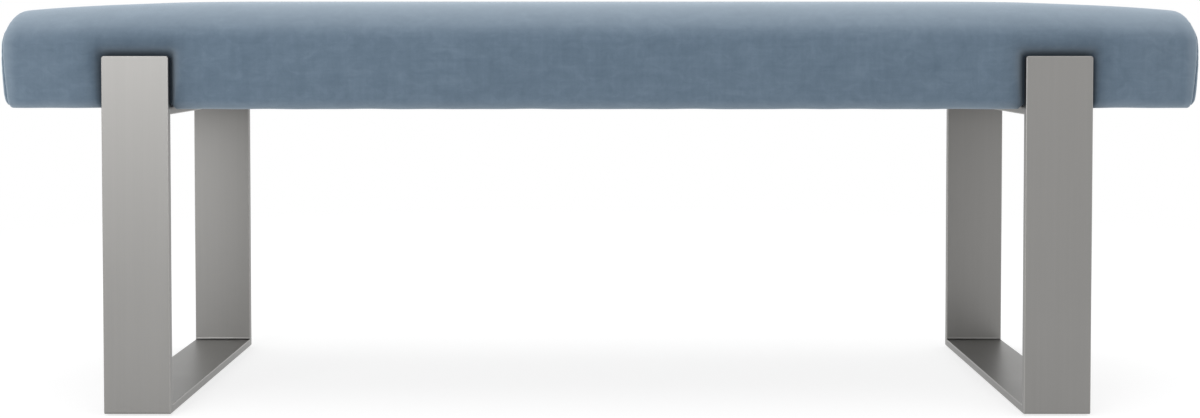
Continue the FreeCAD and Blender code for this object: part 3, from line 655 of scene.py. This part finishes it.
def add_node(tree, kind, inputs=None, **settings):
    """A new node; an input takes a value or another node's output."""
    node = tree.nodes.new(kind)
    for key, value in settings.items():
        setattr(node, key, value)
    for key, value in (inputs or {}).items():
        if isinstance(value, bpy.types.NodeSocket):
            tree.links.new(value, node.inputs[key])
        else:
            node.inputs[key].default_value = value
    return node


class Surface:
    """A material with one Principled shader, and short calls that add nodes to it."""

    def __init__(self, name, **sockets):
        self.material = bpy.data.materials.new(name)
        self.material.use_nodes = True
        self.tree = self.material.node_tree
        self.shader = self.tree.nodes["Principled BSDF"]
        for socket, value in sockets.items():
            self.shader.inputs[socket.replace("_", " ")].default_value = value
        self.place = self.node("ShaderNodeTexCoord").outputs["Object"]
        self.normal = None

    def node(self, kind, inputs=None, **settings):
        return add_node(self.tree, kind, inputs, **settings)

    def math(self, operation, first, second=0.0, third=0.0, clamp=False):
        inputs = {0: first, 1: second, 2: third}
        return self.node("ShaderNodeMath", inputs, operation=operation, use_clamp=clamp).outputs[0]

    def total(self, terms):
        out = terms[0]
        for term in terms[1:]:
            out = self.math("ADD", out, term)
        return out

    def noise(self, scale, stretch=(1, 1, 1), detail=3.0, rough=0.5, distortion=0.0):
        """Noise between 0 and 1 over the object's own coordinates, per metre and stretched."""
        scaled = self.node("ShaderNodeMapping", {"Vector": self.place, "Scale": stretch})
        inputs = {"Vector": scaled.outputs[0], "Scale": scale, "Detail": detail, "Roughness": rough,
                  "Distortion": distortion}
        return self.node("ShaderNodeTexNoise", inputs).outputs["Fac"]

    def swing(self, value, amount):
        """The value about zero, times amount."""
        return self.math("MULTIPLY_ADD", value, amount, -0.5 * amount)

    def mottle(self, *layers):
        """Sum of values about zero, each with its amount."""
        return self.total([self.swing(value, amount) for value, amount in layers])

    def ramp(self, value, stops):
        node = self.node("ShaderNodeValToRGB", {"Fac": value})
        ramp = node.color_ramp
        while len(ramp.elements) < len(stops):
            ramp.elements.new(0.5)
        for element, (position, tone) in zip(ramp.elements, stops):
            element.position, element.color = position, tone
        return node.outputs["Color"]

    def mix(self, share, first, second):
        inputs = {0: share, 6: first, 7: second}
        return self.node("ShaderNodeMix", inputs, data_type="RGBA").outputs[2]

    def into(self, socket, value):
        self.tree.links.new(value, self.shader.inputs[socket])

    def bump(self, height, strength, distance):
        inputs = {"Height": height, "Strength": strength, "Distance": distance}
        if self.normal is not None:
            inputs["Normal"] = self.normal
        self.normal = self.node("ShaderNodeBump", inputs).outputs[0]
        self.into("Normal", self.normal)


def velvet():
    """Pile that lies this way and that, made paler by a painted sheen where it is seen edge-on, and
    darkened by painted shade beside the uprights.
    """
    made = Surface("velvet", Roughness=0.88, Sheen_Weight=0.55, Sheen_Roughness=0.3,
                   Sheen_Tint=VELVET_SHEEN, Specular_IOR_Level=0.12)
    cloud = made.noise(6.5, detail=2)
    crush = made.noise(46, stretch=(1, 1, 1.5), detail=5, rough=0.62, distortion=0.8)
    fall = made.noise(1, stretch=(150, 150, 16), rough=0.55)
    lay = made.noise(1, stretch=(14, 14, 190), rough=0.55)
    pile = made.noise(1700, detail=2, rough=0.6)
    shade = made.mottle((cloud, 0.22), (crush, 0.62), (fall, 0.26), (lay, 0.20), (pile, 0.30))
    shade = made.math("ADD", shade, 0.5, clamp=True)
    body = made.ramp(shade, VELVET_BODY)
    # Painted sheen: the colour turns paler towards a grazing view, by Layer Weight's facing
    facing = made.node("ShaderNodeLayerWeight", {"Blend": 0.5}).outputs["Facing"]
    painted_sheen = made.math("MULTIPLY", made.math("POWER", facing, VELVET_PAINTED_SHEEN_POWER), VELVET_PAINTED_SHEEN_SHARE)
    lit = made.mix(painted_sheen, body, VELVET_PAINTED_SHEEN)
    # Painted shade: the colour darkens round the uprights, where the cover creases against them
    painted_shade = made.node("ShaderNodeAttribute", attribute_name="crease_shade").outputs["Fac"]
    painted_shade = made.math("MULTIPLY", painted_shade, VELVET_PAINTED_SHADE_SHARE)
    made.into("Base Color", made.mix(painted_shade, lit, VELVET_PAINTED_SHADE))
    made.bump(pile, strength=0.35, distance=0.0006)
    made.bump(crush, strength=0.12, distance=0.003)
    return made.material


def edge_mask(made, low, high):
    """1 on the eased edges of a bar with these corners, and 0 a little inside them."""
    parts = made.node("ShaderNodeSeparateXYZ", {0: made.place}).outputs
    depth = []
    for axis in range(3):
        centre, half = (low[axis] + high[axis]) / 2, (high[axis] - low[axis]) / 2
        aside = made.math("ABSOLUTE", made.math("SUBTRACT", parts[axis], centre))
        depth.append(made.math("SUBTRACT", half, aside))
    nearest = None
    for first, second in ((0, 1), (1, 2), (0, 2)):
        edge = made.math("MAXIMUM", depth[first], depth[second])
        nearest = edge if nearest is None else made.math("MINIMUM", nearest, edge)
    inputs = {"Value": nearest, "From Min": EDGE_WIDTH * EDGE_CORE, "From Max": EDGE_WIDTH,
              "To Min": 1.0, "To Max": 0.0}
    return made.node("ShaderNodeMapRange", inputs).outputs[0]


def brushed(name, grain, rough, edges=None):
    """Satin steel, brushed along the axis number grain, with polished edges on a bar that are smoother
    and made paler in colour as a painted highlight.
    """
    made = Surface(name, Metallic=1.0)
    along = [1.0, 1.0, 1.0]
    along[grain] = BRUSH_STRETCH
    lines = made.noise(900, stretch=along, rough=0.6)
    bands = made.noise(170, stretch=along, rough=0.55)
    smear = made.noise(9, distortion=0.4)
    shade = made.mottle((lines, 0.07), (bands, 0.06), (smear, 0.07))
    rub = made.mottle((lines, 0.06), (smear, 0.08))
    roughness = made.math("ADD", rub, rough)
    shade = made.math("ADD", shade, 1.0)
    if edges is not None:
        mask = edge_mask(made, *edges)
        # Painted highlight: the edges' colour is made paler; their lower roughness is the polish
        shade = made.math("MULTIPLY_ADD", mask, EDGE_PAINTED_HIGHLIGHT, shade)
        roughness = made.math("MULTIPLY_ADD", mask, EDGE_ROUGHER, roughness)
    inputs = {0: STEEL[:3], "Scale": shade}
    made.into("Base Color", made.node("ShaderNodeVectorMath", inputs, operation="SCALE").outputs[0])
    made.into("Roughness", roughness)
    made.bump(lines, strength=0.05, distance=0.0002)
    return made.material


def zinc(name, base, rough):
    """Plated fasteners: fine spangle, a little darker in patches."""
    made = Surface(name, Metallic=1.0)
    spangle = made.noise(900, rough=0.6)
    patch = made.noise(160, detail=2)
    shade = made.math("ADD", made.mottle((spangle, 0.16), (patch, 0.14)), 0.5)
    darker = tuple(v * ZINC_DARKER for v in base[:3]) + (1.0,)
    made.into("Base Color", made.ramp(shade, [(0.3, darker), (0.7, base)]))
    made.into("Roughness", made.math("ADD", made.swing(patch, 0.16), rough))
    made.bump(spangle, strength=0.12, distance=0.0002)
    return made.material


def plywood():
    """Birch plywood: grain along the board, plies seen at its edge."""
    made = Surface("plywood", Roughness=0.7)
    grain = made.noise(1, stretch=(3, 60, 60), detail=5, rough=0.6, distortion=0.4)
    parts = made.node("ShaderNodeSeparateXYZ", {0: made.place}).outputs
    plies = made.math("SINE", made.math("MULTIPLY", parts[2], 2 * math.pi / PLY_THICKNESS))
    shade = made.total([made.swing(grain, 0.5), made.math("MULTIPLY", plies, 0.14)])
    made.into("Base Color", made.ramp(made.math("ADD", shade, 0.5), BIRCH))
    made.bump(grain, strength=0.1, distance=0.0004)
    return made.material


def dust_cloth():
    """Black non-woven: bonded dots on a grid, fibres between them."""
    made = Surface("dust_cloth", Roughness=0.92, Sheen_Weight=0.25, Sheen_Roughness=0.5)
    inputs = {"Vector": made.place, "Scale": 420.0, "Randomness": 0.25}
    dots = made.node("ShaderNodeTexVoronoi", inputs)
    fibre = made.noise(2600, detail=4, rough=0.7)
    cloud = made.noise(30)
    shade = made.math("ADD", made.mottle((fibre, 0.6), (cloud, 0.3)), 0.5)
    made.into("Base Color", made.ramp(shade, BLACK_CLOTH))
    made.bump(dots.outputs["Distance"], strength=0.5, distance=0.0005)
    made.bump(fibre, strength=0.2, distance=0.0002)
    return made.material


def moulded_glide():
    """Black plastic with a fine skin, scuffed in places."""
    made = Surface("glide_plastic")
    skin = made.noise(1200, rough=0.6)
    scuff = made.noise(140, rough=0.6, distortion=0.5)
    made.into("Base Color", made.ramp(scuff, BLACK_PLASTIC))
    made.into("Roughness", made.math("ADD", made.swing(scuff, 0.25), 0.5))
    made.bump(skin, strength=0.15, distance=0.0003)
    return made.material


ALONG_X, ALONG_Y, ALONG_Z = 0, 1, 2
WELD = brushed("ground_weld", ALONG_X, WELD_ROUGH)
ZINC = zinc("zinc_plate", ZINC_PLATE, ZINC_ROUGH)
WIRE = zinc("staple_wire", STAPLE_WIRE, WIRE_ROUGH)
PLYWOOD = plywood()
GLIDE = moulded_glide()
DUST = dust_cloth()
VELVET = velvet()


def bar_material(name):
    low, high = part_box(name)
    grain = ALONG_Z if "upright" in name else ALONG_Y
    return brushed(name + "_steel", grain, STEEL_ROUGH, (low, high))


FINISHES = {"frame_welds": WELD, "screws": ZINC, "washers": ZINC, "nuts": ZINC, "staples": WIRE,
            "glides": GLIDE, "seat_board": PLYWOOD}

for name in frame["nodes"]:
    solid = bpy.data.objects[name]
    if name.endswith(("upright", "crossbar", "runner")):
        finish = bar_material(name)
    else:
        finish = next((made for key, made in FINISHES.items() if key in name), None)
    if finish is not None:
        solid.data.materials.clear()
        solid.data.materials.append(finish)

# ---------------------------------------------------------------- bodies, slots and soft pieces

for piece, finish, slot in ((main, VELVET, "velvet"), (right_end, VELVET, "velvet"),
                            (left_end, VELVET, "velvet"), (cloth_under, DUST, "dust_cloth")):
    piece.data.materials.append(finish)
    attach(piece, BODY)
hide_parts("foam_core", "batting_wrap", "cover_main_panel")
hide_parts("cover_right_end_panel")
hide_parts("cover_left_end_panel")
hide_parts("dust_cover")

# ---------------------------------------------------------------- stage, light and camera

WHITE = 1.0
AMBIENT = 0.68
FLOOR_REACH = 30
FLOOR_COLOUR = 0.86
FLOOR_SHADED = 0.42             # what the lamps and shadows show of it near the bench
FLOOR_GLOW = 0.73               # share of its white there that the lamps don't make
FLOOR_FADE = (1.1, 2.2)         # distance over which it turns plain white
# Each lamp's place, the point it is aimed at, its size and its power in watts
LAMPS = {
    "top_softbox": ((0.0, -0.2, 2.6), (0, 0, 0.4), (3.4, 2.2), 20),
    "left_softbox": ((-1.4, -3.0, 1.0), (-0.4, 0, 0.2), (1.6, 1.4), 24),
    "horizon_strip": ((0.0, -4.3, 0.6), (0, 0, 0.4), (6.0, 0.3), 11),
}
# The camera looks almost level along +Y from the height of the cushion's middle. The picture's frame
# lies lower, most of it by lens shift, which keeps the uprights nearly parallel.
CAMERA_PLACE = (6.8, -2165.0, 425.0)
CAMERA_TILT = math.radians(1.748)
LENS = 51.45
SENSOR_WIDTH = 36.0
PICTURE_WIDTH, PICTURE_HEIGHT = 1200, 418
AXIS_X, AXIS_Y = 603.2, 95.0    # where the camera's axis meets the picture, in its pixels


def grey(level):
    return (level, level, level, 1)


def seen_share(tree):
    """1 for camera, glossy and transmission rays, else 0."""
    path = tree.nodes.new("ShaderNodeLightPath").outputs
    inputs = {0: path["Is Camera Ray"], 1: path["Is Glossy Ray"]}
    first = add_node(tree, "ShaderNodeMath", inputs, operation="MAXIMUM")
    inputs = {0: first.outputs[0], 1: path["Is Transmission Ray"]}
    return add_node(tree, "ShaderNodeMath", inputs, operation="MAXIMUM").outputs[0]


def seen_or_lit(tree, output, lit, seen):
    """Sends one shader to the rays that light the scene and another to those that see it."""
    inputs = {"Fac": seen_share(tree), 1: lit.outputs[0], 2: seen.outputs[0]}
    mixed = add_node(tree, "ShaderNodeMixShader", inputs)
    add_node(tree, output, {"Surface": mixed.outputs[0]})


def stage_floor():
    """Pale floor that keeps the bench's shadow near it and is plain white further off."""
    mesh = bpy.data.meshes.new("floor")
    corners = ((-1, -1), (1, -1), (1, 1), (-1, 1))
    mesh.from_pydata([(FLOOR_REACH * x, FLOOR_REACH * y, 0) for x, y in corners], [], [(0, 1, 2, 3)])
    floor = linked_object("floor", mesh)
    material = bpy.data.materials.new("pale_floor")
    material.use_nodes = True
    tree = material.node_tree
    tree.nodes.clear()
    diffuse = add_node(tree, "ShaderNodeBsdfDiffuse", {"Color": grey(FLOOR_COLOUR)})
    shaded = add_node(tree, "ShaderNodeBsdfDiffuse", {"Color": grey(FLOOR_SHADED)})
    glow = add_node(tree, "ShaderNodeEmission", {"Strength": FLOOR_GLOW})
    near = add_node(tree, "ShaderNodeAddShader", {0: shaded.outputs[0], 1: glow.outputs[0]})
    far = add_node(tree, "ShaderNodeEmission", {"Strength": WHITE})
    place = tree.nodes.new("ShaderNodeTexCoord").outputs["Object"]
    length = add_node(tree, "ShaderNodeVectorMath", {0: place}, operation="LENGTH").outputs["Value"]
    inputs = {"Value": length, "From Min": FLOOR_FADE[0], "From Max": FLOOR_FADE[1]}
    fade = add_node(tree, "ShaderNodeMapRange", inputs).outputs[0]
    inputs = {"Fac": fade, 1: near.outputs[0], 2: far.outputs[0]}
    seen = add_node(tree, "ShaderNodeMixShader", inputs)
    seen_or_lit(tree, "ShaderNodeOutputMaterial", diffuse, seen)
    mesh.materials.append(material)


def studio_world():
    """Even light on the bench, with plain white seen behind it and in its metal."""
    world = bpy.data.worlds.new("studio")
    bpy.context.scene.world = world
    world.use_nodes = True
    tree = world.node_tree
    tree.nodes.clear()
    ambient = add_node(tree, "ShaderNodeBackground", {"Color": grey(1), "Strength": AMBIENT})
    white = add_node(tree, "ShaderNodeBackground", {"Color": grey(1), "Strength": WHITE})
    seen_or_lit(tree, "ShaderNodeOutputWorld", ambient, white)


def area_light(name, place, target, size, power):
    data = bpy.data.lights.new(name, "AREA")
    data.shape = "RECTANGLE"
    data.size, data.size_y = size
    data.energy = power
    lamp = linked_object(name, data)
    lamp.location = place
    lamp.rotation_euler = (Vector(target) - Vector(place)).to_track_quat("-Z", "Y").to_euler()


def photo_camera():
    data = bpy.data.cameras.new("camera")
    data.lens = LENS
    data.sensor_width = SENSOR_WIDTH
    data.sensor_fit = "HORIZONTAL"
    data.shift_x = (PICTURE_WIDTH / 2 - AXIS_X) / PICTURE_WIDTH
    data.shift_y = (AXIS_Y - PICTURE_HEIGHT / 2) / PICTURE_WIDTH
    camera = linked_object("camera", data)
    camera.location = Vector(CAMERA_PLACE) * MM
    camera.rotation_euler = (math.pi / 2 - CAMERA_TILT, 0, 0)
    bpy.context.scene.camera = camera


stage_floor()
studio_world()
for name, (place, target, size, power) in LAMPS.items():
    area_light(name, place, target, size, power)
photo_camera()
bpy.context.scene.view_settings.view_transform = "Standard"
